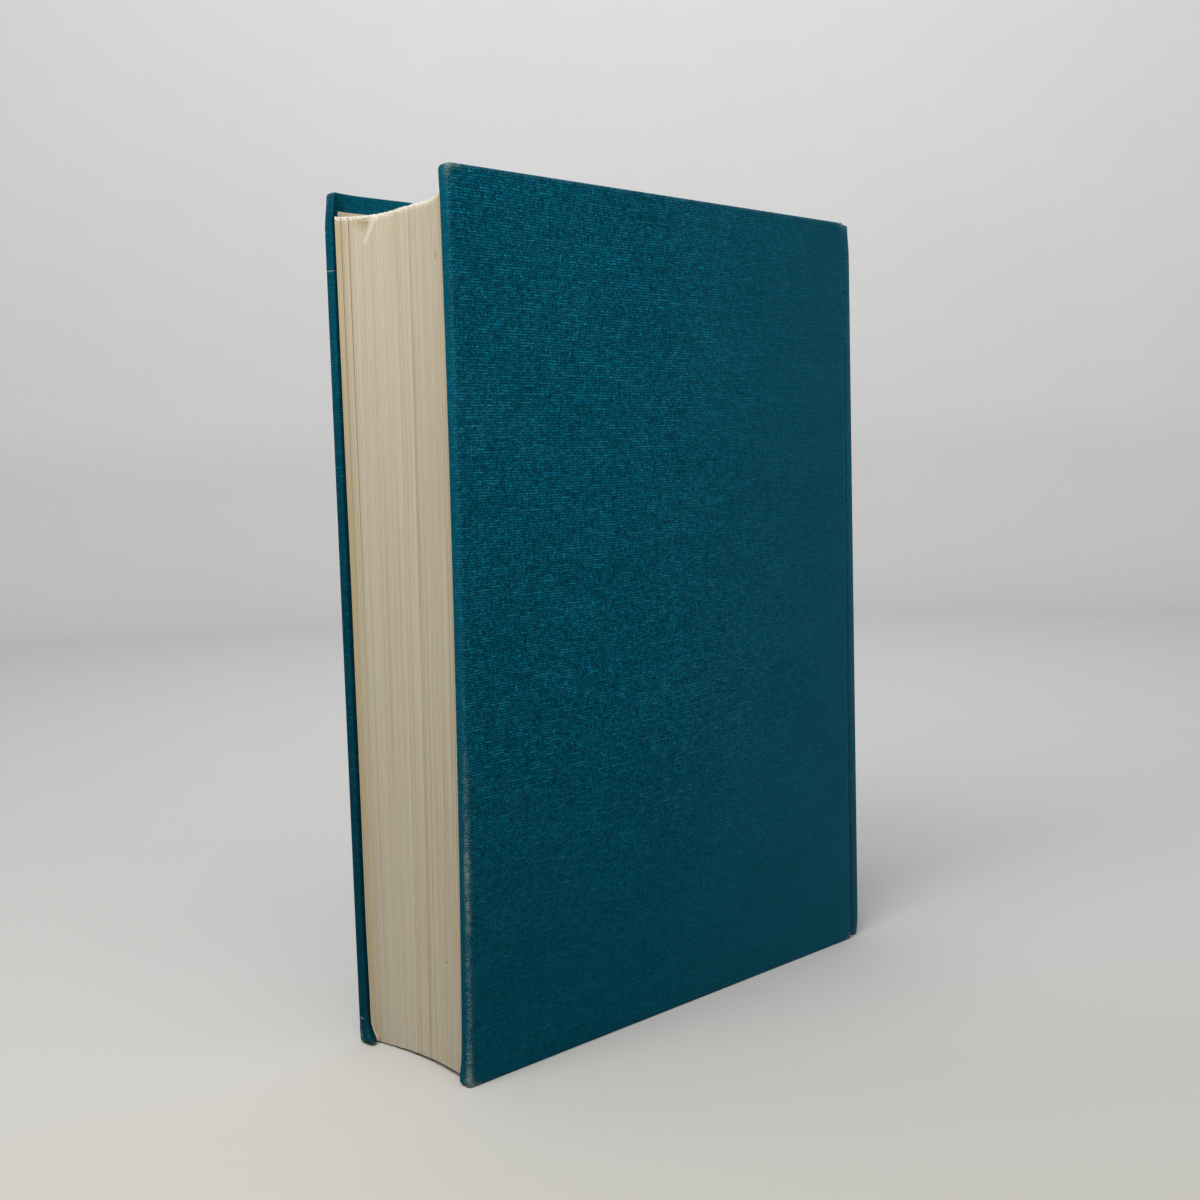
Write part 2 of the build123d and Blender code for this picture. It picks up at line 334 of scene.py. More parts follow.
def page_material():
    """Cut leaf edges: cream with fine upright lines, tan at both sides, creased near the head, with
    painted shade and highlights.
    """
    s = Shader("cut leaf edges")
    leaf = s.attribute("leaf", vector=True)
    below = s.attribute("below")
    across, height, lottery = s.split(leaf)
    fine = s.noise(s.stretch(leaf, (260, 0.006, 0)), detail=2, roughness=0.6)
    broad = s.noise(s.stretch(leaf, (46, 0.004, 0), (5, 1, 0)), detail=2, roughness=0.6)
    stain = s.noise(s.stretch(leaf, (22, 0.014, 0), (2, 7, 0)), detail=3)
    seam = s.noise(s.stretch(leaf, (75, 0.005, 0), (9, 3, 0)), detail=1)
    fleck = s.noise(s.stretch(leaf, (150, 3, 0), (4, 4, 0)), detail=2)
    color = s.mix(s.span(broad, 0.3, 0.7), PAGE_DULL, PAGE_PALE)
    lines = s.span(s.plus(fine, s.times(lottery, 0.3)), 0.46, 0.76)
    color = s.mix(s.times(lines, 0.40), color, PAGE_LINE)
    color = s.mix(s.span(seam, 0.66, 0.72, 0, 0.28), color, PAGE_SEAM)
    warm = s.times(s.span(stain, 0.52, 0.72), s.span(across, 0.3, 0.6, 0.2, 0.7))
    color = s.mix(warm, color, PAGE_STAIN)
    rim = s.math("MAXIMUM", s.span(across, 0.11, 0.0, 0, 1.0), s.span(across, 0.93, 1.0, 0, 0.8))
    color = s.mix(s.times(rim, s.span(fine, 0.38, 0.62, 0.40, 1.0)), color, PAGE_RIM)
    width = s.span(below, 0, CREASE_REACH, 1, 0)
    left = s.plus(s.times(width, CREASE_DRIFT), CREASE_TIP)
    spread = s.math("MAXIMUM", s.times(width, CREASE_SPREAD), CREASE_LEAST)
    place = s.math("DIVIDE", s.minus(across, left), spread)
    # Painted highlight on the crease's bent facet
    crease_highlight = s.times(s.span(place, -0.2, 0.6), s.span(place, 1.06, 0.98))
    crease_highlight = s.times(crease_highlight, s.span(below, CREASE_REACH, CREASE_REACH - 2))
    # Painted shade on the leaves pressed in beside the crease
    pressed = s.times(s.span(place, -1.7, -0.5), s.span(place, 0.35, 0.0))
    uneven = s.plus(below, s.times(fleck, 4))
    pressed = s.times(pressed, s.span(uneven, 7.0, 3.5))
    color = s.mix(s.times(pressed, 0.85), color, PAGE_CREASE_SHADE)
    color = s.mix(s.times(crease_highlight, 0.42), color, PAGE_CREASE_HIGHLIGHT)
    # Painted shade: the leaf edges darken from near the head down towards the tail
    color = s.mix(1.0, color, s.span(height, 205, 70, 0.96, 0.88), "MULTIPLY")
    # Painted highlight where the ragged tops of the leaves catch the light
    head_highlight = s.span(s.minus(below, s.span(fleck, 0.35, 0.70, 0, 2.2)), 0.0, -0.4, 0, 0.9)
    color = s.mix(head_highlight, color, PAGE_HEAD_HIGHLIGHT)
    for speck in LEAF_SPECKS:
        color = s.mix(s.span(s.oval(across, height, speck), 1.0, 0.3, 0, 0.6), color, PAGE_SPECK)
    s.bump(fine, 0.2, 0.10)
    return s.finish(color, s.span(broad, 0.3, 0.7, 0.82, 0.95), 0.06)


def sheet_material(name, pale, deep, scale, roughness=0.9):
    """Matt paper or card with soft mottling and fibres."""
    s = Shader(name)
    place = s.place()
    mottle = s.noise(place, scale, 4, 0.6)
    fibre = s.noise(s.stretch(place, (900, 900, 300)), 1.0, 2)
    color = s.mix(s.span(mottle, 0.3, 0.7), deep, pale)
    color = s.mix(s.span(fibre, 0.55, 0.8, 0, 0.25), color, deep)
    s.bump(fibre, 0.2, 0.08)
    return s.finish(color, s.span(mottle, 0.3, 0.7, roughness - 0.06, roughness), 0.12)


def gauze_material():
    """Open cotton gauze stiffened with glue."""
    s = Shader("mull gauze")
    place = s.place()
    upright = s.noise(s.stretch(place, (1300, 1300, 30)), 1.0, 1)
    level = s.noise(s.stretch(place, (40, 40, 1300)), 1.0, 1)
    net = s.math("MAXIMUM", upright, level)
    color = s.mix(s.span(net, 0.45, 0.62), (0.33, 0.25, 0.14), (0.66, 0.61, 0.50))
    s.bump(net, 0.5, 0.15)
    return s.finish(color, s.span(net, 0.4, 0.7, 0.7, 0.95), 0.15)


def thread_material():
    """Headband thread in two colours."""
    s = Shader("headband thread")
    stripe = s.attribute("stripe")
    fuzz = s.noise(s.place(), 1800, 2)
    color = s.mix(s.span(stripe, 0.45, 0.55), (0.60, 0.55, 0.44), (0.012, 0.13, 0.17))
    color = s.mix(s.span(fuzz, 0.4, 0.75, 0, 0.35), color, (0.30, 0.27, 0.21))
    s.bump(fuzz, 0.4, 0.1)
    return s.finish(color, s.span(fuzz, 0.3, 0.7, 0.65, 0.85), 0.2, 0.1)


cloth = cloth_material()
page_edges = page_material()
endpaper = sheet_material("endpaper", (0.70, 0.64, 0.51), (0.65, 0.58, 0.44), 30)
greyboard = sheet_material("greyboard", (0.33, 0.30, 0.25), (0.22, 0.19, 0.15), 220)
lining = sheet_material("lining paper", (0.46, 0.33, 0.20), (0.34, 0.23, 0.13), 160)
gauze = gauze_material()
thread = thread_material()


def cover_y(side, x, z, depth):
    """Where a cover's layer lies across the book, at a depth below its outer face."""
    along, up = np.clip((x - JOINT_X) / WIDTH, 0, 1), z / HEIGHT
    if side == "front":
        return FRONT_Y + depth + (FRONT_TWIST * up - FRONT_LEAN) * along**2
    return BACK_Y + (FLARE * up + BOW * 4 * up * (1 - up)) * along - depth


# Knocks at the covers' fore edges, each as far as it pushes the cloth
SWELL, END_SWELL, BACK_TAIL_SWELL = 0.35, 0.3, 0.4
HEAD_BUMP = 1.4
LOW_SWELL, TAIL_SWELL = 0.6, 0.5
FOOT_PUSH, FOOT_SWELL, FOOT_LIFT = 2.4, 0.9, 0.9
# How far each cover's tail corner spreads, and from what height
TAIL_SPREAD = {"front": (1.5, 5), "back": (0.4, 9)}
JOINT_LEAN = 1.1


def knock(side, x, z, depth):
    """How far knocks and wear push a cover's layer towards the leaves at its fore edge."""
    from_fore, from_head = FORE_X - x, HEIGHT - z
    inward = np.minimum(depth / COVER_DEPTH, 1)
    ends = np.maximum(smooth(16, 0, z), smooth(12, 0, from_head))
    swell = (SWELL + END_SWELL * ends) * smooth(2.6, 0, from_fore) * inward
    if side == "back":
        return -swell - BACK_TAIL_SWELL * smooth(10, 0, z) * smooth(3, 0, from_fore) * inward
    head_bump = HEAD_BUMP * smooth(10, 0, np.hypot(from_fore, from_head))
    low_swell = LOW_SWELL * smooth(40, 8, z) + TAIL_SWELL * smooth(10, 1, z)
    tail_bump = low_swell * smooth(3.4, 0, from_fore) * inward
    foot = (FOOT_PUSH + FOOT_SWELL * inward) * smooth(5, 0.4, z) * smooth(3.4, 0.6, from_fore)
    return swell + head_bump + tail_bump + foot


# Steps along a cover's sides and round its corners
SIDE_X, SIDE_Z, ARC = 82, 120, 8


def outline(inset, fore_radius, joint_radius, joint_inset):
    """Columns round a cover from its joint's tail corner: points and outward directions."""
    left, right = JOINT_X + joint_inset, FORE_X - inset
    low, high = inset, HEIGHT - inset
    points, normals = [], []

    def side(start, end, count, normal):
        for k in range(1, count):
            f = k / count
            points.append((start[0] + (end[0] - start[0]) * f, start[1] + (end[1] - start[1]) * f))
            normals.append(normal)

    def arc(cx, cz, radius, first):
        for k in range(ARC + 1):
            a = math.radians(first + 90 * k / ARC)
            points.append((cx + radius * math.cos(a), cz + radius * math.sin(a)))
            normals.append((math.cos(a), math.sin(a)))

    arc(left + joint_radius, low + joint_radius, joint_radius, 180)
    side((left + joint_radius, low), (right - fore_radius, low), SIDE_X, (0, -1))
    arc(right - fore_radius, low + fore_radius, fore_radius, 270)
    side((right, low + fore_radius), (right, high - fore_radius), SIDE_Z, (1, 0))
    arc(right - fore_radius, high - fore_radius, fore_radius, 0)
    side((right - fore_radius, high), (left + joint_radius, high), SIDE_X, (0, 1))
    arc(left + joint_radius, high - joint_radius, joint_radius, 90)
    side((left, high - joint_radius), (left, low + joint_radius), SIDE_Z, (-1, 0))
    return np.array(points), np.array(normals)


# Rolled edge of a cover: where the flat face ends, the radii at both arrises, and the sections' places
FACE_IN, OUTER_ROLL, INNER_ROLL = 6.0, 0.75, 0.3
OUTER_STEPS, INNER_STEPS = 5, 4
FACE_INSETS = (FACE_IN, 4.4, 3.2, 2.3, 1.6, 1.1)
EDGE_DEPTHS = (1.2, 1.7, 2.2, 2.6)
TURN_IN_INSETS = (0.8, 1.4, 2.6, 4.5, 7.0, 11.0, TURN_IN)
# Distances along the cloth from the flat face to the middle of each arris
OUTER_ARRIS = FACE_IN - OUTER_ROLL + OUTER_ROLL * math.pi / 4
EDGE_RUN = COVER_DEPTH - OUTER_ROLL - INNER_ROLL * (1 - math.pi / 4)
INNER_ARRIS = OUTER_ARRIS + OUTER_ROLL * math.pi / 4 + EDGE_RUN


def cover_rings():
    """Sections from the outer face over the edge and in under the turned-in cloth."""
    rings = [(inset, 0.0) for inset in FACE_INSETS]
    for a in np.linspace(0, math.pi / 2, OUTER_STEPS + 1):
        rings.append((OUTER_ROLL * (1 - math.sin(a)), OUTER_ROLL * (1 - math.cos(a))))
    rings += [(0.0, depth) for depth in EDGE_DEPTHS]
    for a in np.linspace(0, math.pi / 2, INNER_STEPS + 1):
        rings.append((INNER_ROLL * (1 - math.cos(a)), COVER_DEPTH - INNER_ROLL * (1 - math.sin(a))))
    edge_rings = len(rings)
    rings += [(inset, COVER_DEPTH) for inset in TURN_IN_INSETS]
    rings.append((TURN_IN + 0.1, TURN_IN_TOP))
    return rings, edge_rings


def tail_lift(side, x, z, depth):
    """How far the bumped tail corner of the front cover is lifted at its inner edge."""
    if side == "back":
        return 0 * z
    return FOOT_LIFT * min(depth / COVER_DEPTH, 1) * smooth(3, 0, z) * smooth(4, 1, FORE_X - x)


def joint_lean(x, z):
    """How far the cover's joint edge leans over the groove towards the head."""
    return JOINT_LEAN * smooth(60, HEIGHT, z) * smooth(FACE_IN, 0, x - JOINT_X)


# Wear along a cover's edges: fore edge below, joint, head and tail
EDGE_WEAR = {"front": (0.16, 0.30, 0.26, 0.62), "back": (0.74, 0.10, 0.28, 0.10)}
HIGH_FORE_WEAR = 0.13


def rubbed(side, x, z, path):
    """How worn the cloth is, from its arrises, corners and edges."""
    up = z / HEIGHT
    outer = math.exp(-((path - OUTER_ARRIS) / 1.1) ** 2)
    inner = 0.5 * math.exp(-((path - INNER_ARRIS) / 0.5) ** 2)
    arris = max(outer, inner)
    rim = math.exp(-((path - OUTER_ARRIS) / 2.4) ** 2)
    head_corner = smooth(8, 0, np.hypot(FORE_X - x, HEIGHT - z))
    tail_corner = smooth(9, 0, np.hypot(FORE_X - x, z))
    joint_head = smooth(4, 0, np.hypot(JOINT_X - x, HEIGHT - z))
    joint_tail = smooth(6, 0, np.hypot(JOINT_X - x, z))
    patchy = 0.75 + 0.25 * wander(z, 5.0, 5) + 0.2 * wander(z, 21.0, 6)
    low, joint, head, tail = EDGE_WEAR[side]
    fore = (HIGH_FORE_WEAR + (low - HIGH_FORE_WEAR) * smooth(0.52, 0.2, up)) * patchy
    lines = np.maximum(fore * smooth(4, 1, FORE_X - x), joint * smooth(3, 0.5, x - JOINT_X))
    lines = np.maximum(lines, head * smooth(3, 0.5, HEIGHT - z))
    lines = np.maximum(lines, tail * smooth(3, 0.5, z))
    corners = 0.26 * head_corner + 0.2 * tail_corner + 0.45 * joint_head + 0.45 * joint_tail
    return np.clip(arris * (lines + corners) + 0.8 * rim * corners, 0, 1)


def face_rim(grid):
    """Rim points of a cover's face grid, one for each column of its outline."""
    corner = ARC + 1
    rim = [grid[0, 0]] * corner + list(grid[1:-1, 0])
    rim += [grid[-1, 0]] * corner + list(grid[-1, 1:-1])
    rim += [grid[-1, -1]] * corner + list(grid[-2:0:-1, -1])
    rim += [grid[0, -1]] * corner + list(grid[0, -2:0:-1])
    return np.array(rim)


def build_cover_cloth(side):
    """Cloth of one cover: outer face, rolled edges and turned-in flaps with folded corners."""
    rings, edge_rings = cover_rings()
    columns = 2 * (SIDE_X - 1) + 2 * (SIDE_Z - 1) + 4 * (ARC + 1)
    grid_x = np.linspace(JOINT_X + FACE_IN, FORE_X - FACE_IN, SIDE_X + 1)
    grid_z = np.linspace(FACE_IN, HEIGHT - FACE_IN, SIDE_Z + 1)
    gx, gz = np.meshgrid(grid_x, grid_z, indexing="ij")
    gx, gz = gx.ravel(), gz.ravel()
    verts = [np.column_stack((gx, cover_y(side, gx, gz, 0 * gx), gz))]
    is_front = float(side == "front")
    weave = [np.column_stack((gx, gz, 0 * gx + is_front))]
    wear = [0 * gx]
    shade = [0 * gx + 1]
    grid_id = np.arange(len(gx)).reshape(SIDE_X + 1, SIDE_Z + 1)
    _, outward = outline(0, CORNER[side], JOINT_CORNER, 0)
    head_fold = np.zeros(columns)
    fore_arcs = (ARC + 1 + SIDE_X - 1, 2 * (ARC + 1) + SIDE_X - 1 + SIDE_Z - 1)
    head_fold[: fore_arcs[0] + ARC // 2 + 1] = 1
    head_fold[fore_arcs[1] + ARC // 2:] = 1
    spread, reach = TAIL_SPREAD[side]
    path, previous = 0.0, rings[0]
    ids = [face_rim(grid_id)]
    count = len(gx)
    for index, (inset, depth) in enumerate(rings[1:], 1):
        path += math.hypot(inset - previous[0], depth - previous[1])
        previous = (inset, depth)
        inner = index >= edge_rings
        share = max(0.0, 1 - inset / FACE_IN) if not inner else 0.03
        joint_inset = min(inset, OUTER_ROLL) if inner else inset
        points, _ = outline(inset, CORNER[side] * share, JOINT_CORNER * share, joint_inset)
        x, z = points[:, 0], points[:, 1]
        x = x - joint_lean(x, z) + spread * smooth(reach, 1, z) * smooth(3, 0, FORE_X - x)
        z = z + tail_lift(side, x, z, depth)
        folded = head_fold * smooth(0.3, 1.4, inset) if inner else 0 * x
        y = cover_y(side, x, z, depth + 0.1 * folded) + knock(side, x, z, depth)
        verts.append(np.column_stack((x, y, z)))
        flat = points + outward * (path - (FACE_IN - inset))
        weave.append(np.column_stack((flat, 0 * x + is_front)))
        wear.append(rubbed(side, x, z, path))
        # Painted shade along the front board's fore edge, heavier below the head
        painted_edge_shade = (0.15 + 0.2 * smooth(215, 150, z)) * smooth(3, 0.5, FORE_X - x) * is_front
        faded = 0.35 * math.exp(-((path - OUTER_ARRIS) / 0.8) ** 2) * smooth(2, 0.5, x - JOINT_X)
        # Painted shade darkens the turn-in along the fore edge; on the face the joint's arris is paler
        # where rubbed
        shade.append(1 - 0.35 * (1 - head_fold) * (inset > 0.5) if inner else 1 - painted_edge_shade + faded)
        ids.append(np.arange(count, count + columns))
        count += columns
    faces = []
    flip = side == "back"

    def quad(a, b, c, d):
        corner = list(dict.fromkeys((int(a), int(b), int(c), int(d))))
        if len(corner) > 2:
            faces.append(corner[::-1] if flip else corner)

    for i in range(SIDE_X):
        for k in range(SIDE_Z):
            quad(grid_id[i, k], grid_id[i + 1, k], grid_id[i + 1, k + 1], grid_id[i, k + 1])
    joint_first = columns - (SIDE_Z - 1) - 1
    for index in range(len(ids) - 1):
        a, b = ids[index], ids[index + 1]
        for c in range(columns):
            if index + 1 >= edge_rings and c >= joint_first:
                continue
            n = (c + 1) % columns
            quad(a[c], b[c], b[n], a[n])
    piece = make_piece(
        f"{side}_case_cloth", np.concatenate(verts), faces, cloth,
        {"weave": np.concatenate(weave), "wear": np.concatenate(wear), "shade": np.concatenate(shade)},
    )
    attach(piece, f"{side}_cover")
    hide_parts(f"{side}_cover_cloth")


# Steps across and up a board or sheet
PANEL_X, PANEL_Z = 66, 90


def build_panel(name, node, side, body, material, limits, layer, sag=0.0, radius=0.0):
    """Board or sheet that follows its cover's bends, between two depths given by layer(x, z)."""
    left, right, low, high = limits
    across, upward = np.linspace(left, right, PANEL_X + 1), np.linspace(low, high, PANEL_Z + 1)
    x, z = np.meshgrid(across, upward, indexing="ij")
    for corner_z in (low + radius, high - radius):
        beyond_x = np.maximum(x - (right - radius), 0)
        beyond_z = np.maximum((z - corner_z) * (1 if corner_z > HEIGHT / 2 else -1), 0)
        reach = np.hypot(beyond_x, beyond_z)
        pull = np.where(reach > radius, radius / np.maximum(reach, 1e-6), 1) if radius else 1 + 0 * x
        pull = np.where((beyond_x > 0) & (beyond_z > 0), pull, 1)
        x = np.where(pull < 1, right - radius + beyond_x * pull, x)
        z = np.where(pull < 1, corner_z + (z - corner_z) * pull, z)
    z = z - sag * (x - JOINT_X) / WIDTH
    near, far = layer(x, z)
    verts = []
    for depth in (near, far):
        y = cover_y(side, x, z, depth) + knock(side, x, z, depth)
        verts.append(np.column_stack((x.ravel(), y.ravel(), z.ravel())))
    ids = np.arange(x.size).reshape(x.shape)
    faces = []
    flip = side == "back"

    def quad(a, b, c, d):
        corner = (int(a), int(b), int(c), int(d))
        faces.append(corner[::-1] if flip else corner)

    for i in range(PANEL_X):
        for k in range(PANEL_Z):
            cell = (ids[i, k], ids[i + 1, k], ids[i + 1, k + 1], ids[i, k + 1])
            quad(*cell)
            quad(*(corner + x.size for corner in cell[::-1]))
    rim = [*ids[:, 0], *ids[-1, 1:], *ids[-2::-1, -1], *ids[0, -2:0:-1]]
    for a, b in zip(rim, rim[1:] + rim[:1]):
        quad(b, a, a + x.size, b + x.size)
    piece = make_piece(name, np.concatenate(verts), faces, material, shade_smooth=False)
    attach(piece, body)
    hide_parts(node)


def board_layer(x, z):
    """Greyboard: flat between the outer cloth and the turned-in cloth."""
    return BOARD_IN + 0 * x, BOARD_OUT + 0 * x


def paste_layer(x, z):
    """Pastedown: on the turned-in cloth round the edges, sunk to the board within them."""
    inside = np.minimum(np.minimum(z, HEIGHT - z), FORE_X - x)
    near = PASTE_NEAR - (PASTE_NEAR - TURN_IN_TOP) * smooth(TURN_IN + 0.4, TURN_IN + 4, inside)
    return near, near + PAPER


def leaf_layer(x, z):
    """Free endpaper: just clear of the pastedown."""
    return LEAF_IN + 0 * x, LEAF_IN + PAPER + 0 * x


def build_panels(side):
    """Board, pastedown and free endpaper of one cover."""
    cover = f"{side}_cover"
    board_limits = (JOINT_X + BOARD_IN, FORE_X - BOARD_IN, BOARD_IN, HEIGHT - BOARD_IN)
    build_panel(f"{side}_greyboard", f"{side}_board", side, cover, greyboard,
                board_limits, board_layer, radius=CORNER[side])
    paste_limits = (JOINT_X + BOARD_IN, FORE_X - PASTE_INSET, TAIL_Z, HEAD_Z)
    build_panel(f"{side}_paste_sheet", f"{side}_pastedown", side, cover, endpaper,
                paste_limits, paste_layer, sag=PASTE_SAG)
    leaf_limits = (JOINT_X, JOINT_X + LEAF_WIDTH, TAIL_Z, HEAD_Z)
    build_panel(f"{side}_flyleaf", f"{side}_free_endpaper", side, "book_block", endpaper,
                leaf_limits, leaf_layer, sag=SAG)


# Endpaper's fold: how far it stands out from the joint, its depths below the cover's face, and its rows
FOLD_OUT, FOLD_NEAR, FOLD_FAR = 0.15, 3.45, 3.9
FOLD_ROWS = 30


def build_endpaper_fold(side):
    """Paper across a joint, from the pastedown to the free endpaper."""
    section = [(JOINT_X + BOARD_IN, FOLD_NEAR)]
    section += [(JOINT_X - FOLD_OUT, depth) for depth in np.linspace(FOLD_NEAR, FOLD_FAR, 6)]
    section.append((JOINT_X, FOLD_FAR))
    heights = np.linspace(TAIL_Z, HEAD_Z, FOLD_ROWS + 1)
    verts = [(x, float(cover_y(side, x, z, depth)), z) for z in heights for x, depth in section]
    wide = len(section)
    faces = []
    for i in range(FOLD_ROWS):
        for k in range(wide - 1):
            a = i * wide + k
            faces.append((a, a + 1, a + wide + 1, a + wide))
    piece = make_piece(f"{side}_endpaper_fold", verts, faces, endpaper, shade_smooth=False)
    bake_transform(piece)


# Spine's cloth: steps along and up it, and its turned-in cloth's gaps over the hollow and at the joints
CASE_STEP, CASE_ROWS = 1.2, 60
HOLLOW_GAP, JOINT_GAP = 0.7, 0.03


def back_path(step):
    """Rounded back and joint from the middle of the spine to the board, seen from above."""
    rise = math.acos(1 - (GROOVE_DEPTH - SHOULDER_DROP) / (GROOVE_RADIUS + SHOULDER_RADIUS))
    rise_run = (GROOVE_RADIUS + SHOULDER_RADIUS) * math.sin(rise)
    floor_y = HALF - GROOVE_DEPTH
    crest = np.array((-JOINT_WIDTH, HALF - SHOULDER_DROP))
    center = crest - (0, SHOULDER_RADIUS)
    end_angle = math.pi - BACK_ANGLE
    end = center + SHOULDER_RADIUS * np.array((math.cos(end_angle), math.sin(end_angle)))
    back_radius = end[1] / math.sin(BACK_ANGLE)
    back_center = end[0] + back_radius * math.cos(BACK_ANGLE)
    points, normals = [], []

    def arc(cx, cy, radius, a0, a1, sign):
        count = max(4, int(abs(a1 - a0) * radius / step))
        for k in range(count):
            a = a0 + (a1 - a0) * k / count
            points.append((cx + radius * math.cos(a), cy + radius * math.sin(a)))
            normals.append((sign * math.cos(a), sign * math.sin(a)))

    arc(back_center, 0, back_radius, math.pi, math.pi - BACK_ANGLE, 1)
    arc(center[0], center[1], SHOULDER_RADIUS, end_angle, math.pi / 2, 1)
    crest_index = len(points)
    arc(center[0], center[1], SHOULDER_RADIUS, math.pi / 2, math.pi / 2 - rise, 1)
    groove = (crest[0] + rise_run, floor_y + GROOVE_RADIUS)
    arc(groove[0], groove[1], GROOVE_RADIUS, -math.pi / 2 - rise, -math.pi / 2, -1)
    for x in np.linspace(groove[0], 0.12, 6):
        points.append((x, floor_y))
        normals.append((0.0, 1.0))
    return np.array(points), np.array(normals), crest_index


def case_section(z_low, z_high, gap):
    """Closed loop of the case's cloth from outside to inside: depth and height."""
    roll, fold = 0.45, 1.2
    bend = [math.pi * k / 6 for k in range(1, 6)]
    inner = CLOTH + gap
    far = inner + CLOTH
    half = far / 2
    loop = [(0.0, z) for z in np.linspace(z_low + roll, z_high - roll, CASE_ROWS + 1)]
    loop += [(half - half * math.cos(a), z_high - roll + roll * math.sin(a)) for a in bend]
    loop += [(far, z) for z in np.linspace(z_high - roll, z_high - TURN_IN, 4)]
    loop += [(inner, z_high - TURN_IN), (inner, z_high - fold), (CLOTH, z_high - fold)]
    loop += [(CLOTH, z_low + fold), (inner, z_low + fold), (inner, z_low + TURN_IN)]
    loop += [(far, z) for z in np.linspace(z_low + TURN_IN, z_low + roll, 4)]
    loop += [(half + half * math.cos(a), z_low + roll - roll * math.sin(a)) for a in bend]
    return np.array(loop)


def sweep_case(name, points, normals, gaps, tops, wears, fades_and_light):
    """Cloth swept along part of the back, closed at both ends."""
    verts, weave, wear, shade, faces = [], [], [], [], []
    travel = np.concatenate(([0], np.cumsum(np.hypot(*np.diff(points, axis=0).T))))
    for p, n, gap, top, along, rub, fade_and_light in zip(points, normals, gaps, tops, travel, wears, fades_and_light):
        loop = case_section(0.0, top, gap)
        cap = 0.5 * np.maximum(smooth(top - 10, top, loop[:, 1:]), smooth(6, 0, loop[:, 1:]))
        flat = p[None, :] - n[None, :] * (loop[:, :1] + cap)
        verts.append(np.column_stack((JOINT_X + flat[:, 0], SPINE_Y + flat[:, 1], loop[:, 1])))
        u, v = np.full(len(loop), along + SPINE_WEAVE), loop[:, 1] + loop[:, 0]
        weave.append(np.column_stack((u, v, 0 * v)))
        ends = np.maximum(smooth(top - 3, top - 0.3, loop[:, 1]), smooth(3, 0.3, loop[:, 1]))
        wear.append(np.clip(rub + 0.22 * ends * (loop[:, 0] < 0.8), 0, 1))
        shade.append(np.full(len(loop), fade_and_light))
    size = len(verts[0])
    for i in range(len(points) - 1):
        for k in range(size):
            n = (k + 1) % size
            faces.append((i * size + k, i * size + n, (i + 1) * size + n, (i + 1) * size + k))
    faces.append(list(range(size - 1, -1, -1)))
    faces.append(list(range((len(points) - 1) * size, len(points) * size)))
    return make_piece(
        name, np.concatenate(verts), faces, cloth,
        {"weave": np.concatenate(weave), "wear": np.concatenate(wear), "shade": np.concatenate(shade)},
    )


def build_spine():
    """Cloth over the rounded back, and the two joint strips."""
    points, normals, crest = back_path(CASE_STEP)
    mirrored = points[::-1] * (1, -1), normals[::-1] * (1, -1)
    back = np.concatenate((mirrored[0][len(points) - crest - 1:-1], points[:crest + 1]))
    back_normals = np.concatenate((mirrored[1][len(points) - crest - 1:-1], normals[:crest + 1]))
    toward = np.abs(back[:, 1]) / HALF
    gaps = HOLLOW_GAP * smooth(0.98, 0.86, toward) + JOINT_GAP
    tops = HEIGHT - 0.3 * smooth(0.80, 0.93, toward)
    rub = 0.08 + 0.14 * smooth(0.9, 0.96, toward)
    # Back's cloth a tenth lighter, more near the joints: faded cloth and painted light
    fade_and_light = 1.1 + 0.05 * smooth(0.9, 0.96, toward)
    piece = sweep_case("spine_case_cloth", back, back_normals, gaps, tops, rub, fade_and_light)
    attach(piece, "book_block")
    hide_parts("spine_cloth")
    joint, joint_normals = points[crest:], normals[crest:]
    share = (joint[:, 0] + JOINT_WIDTH) / JOINT_WIDTH
    for side, sign in (("front", -1), ("back", 1)):
        strip, strip_normals = joint * (1, sign), joint_normals * (1, sign)
        tops = np.interp(share, (0, 0.3, 1), (HEIGHT - 0.3, HEIGHT - 0.15, HEIGHT - 0.05))
        rub = 0.10 * smooth(0.35, 0.0, share)
        # Joint strips lighter, most at the shoulder's crest: faded cloth and painted light lifting the
        # groove's shade
        fade_and_light = 1.25 - 0.15 * smooth(0.1, 0.6, share)
        order = slice(None) if sign > 0 else slice(None, None, -1)
        piece = sweep_case(
            f"{side}_joint_cloth", strip[order], strip_normals[order],
            np.full(len(strip), JOINT_GAP), tops[order], rub[order], fade_and_light[order],
        )
        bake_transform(piece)


# Two loose stacks at the front, which end at these shares of all the leaves
LOOSE_A, LOOSE_B = 0.030, 0.078
# Steps up a leaf's fore edge, closer in the top share of it, and along its head, closer at the fore edge
LOW_ROWS, TOP_ROWS, HEAD_STEPS = 26, 14, 16
FORE_ROWS = LOW_ROWS + TOP_ROWS
TOP_SHARE = 0.11
HEAD_SPACING, TAIL_SPACING = 0.8, 1.25
# Unevenness of the head from the first leaf to the last, at the fore edge
HEAD_STATIONS = (0, 0.1, 0.2, 0.3, 0.4, 0.5, 0.6, 0.7, 0.8, 0.88, 0.95, 1)
HEAD_LIFT = (0.0, -0.35, -0.5, -0.7, -0.5, -0.1, 0.1, 0.0, -0.1, 0.1, 1.0, 1.3)
# Fore edge: setback and depth of the hollow at the tail, and how they change towards the head
SETBACK, SETBACK_LESS, HOLLOW, HOLLOW_MORE = 1.6, 0.6, 2.3, 2.3
# How far the first and second loose stacks stand off at the head, and the shoulders spread at the back
FIRST_SPRING, SECOND_SPRING, SHOULDER_SPREAD = 0.36, 0.34, 1.0
# Bands of leaves: share of each left open between them, and how unevenly they are cut
BAND_GAP, BAND_JOG = 0.08, 0.045
# Stands for the depth below the head on faces that have no crease
FAR_BELOW = 60.0
CREASE_PRESS = 0.45


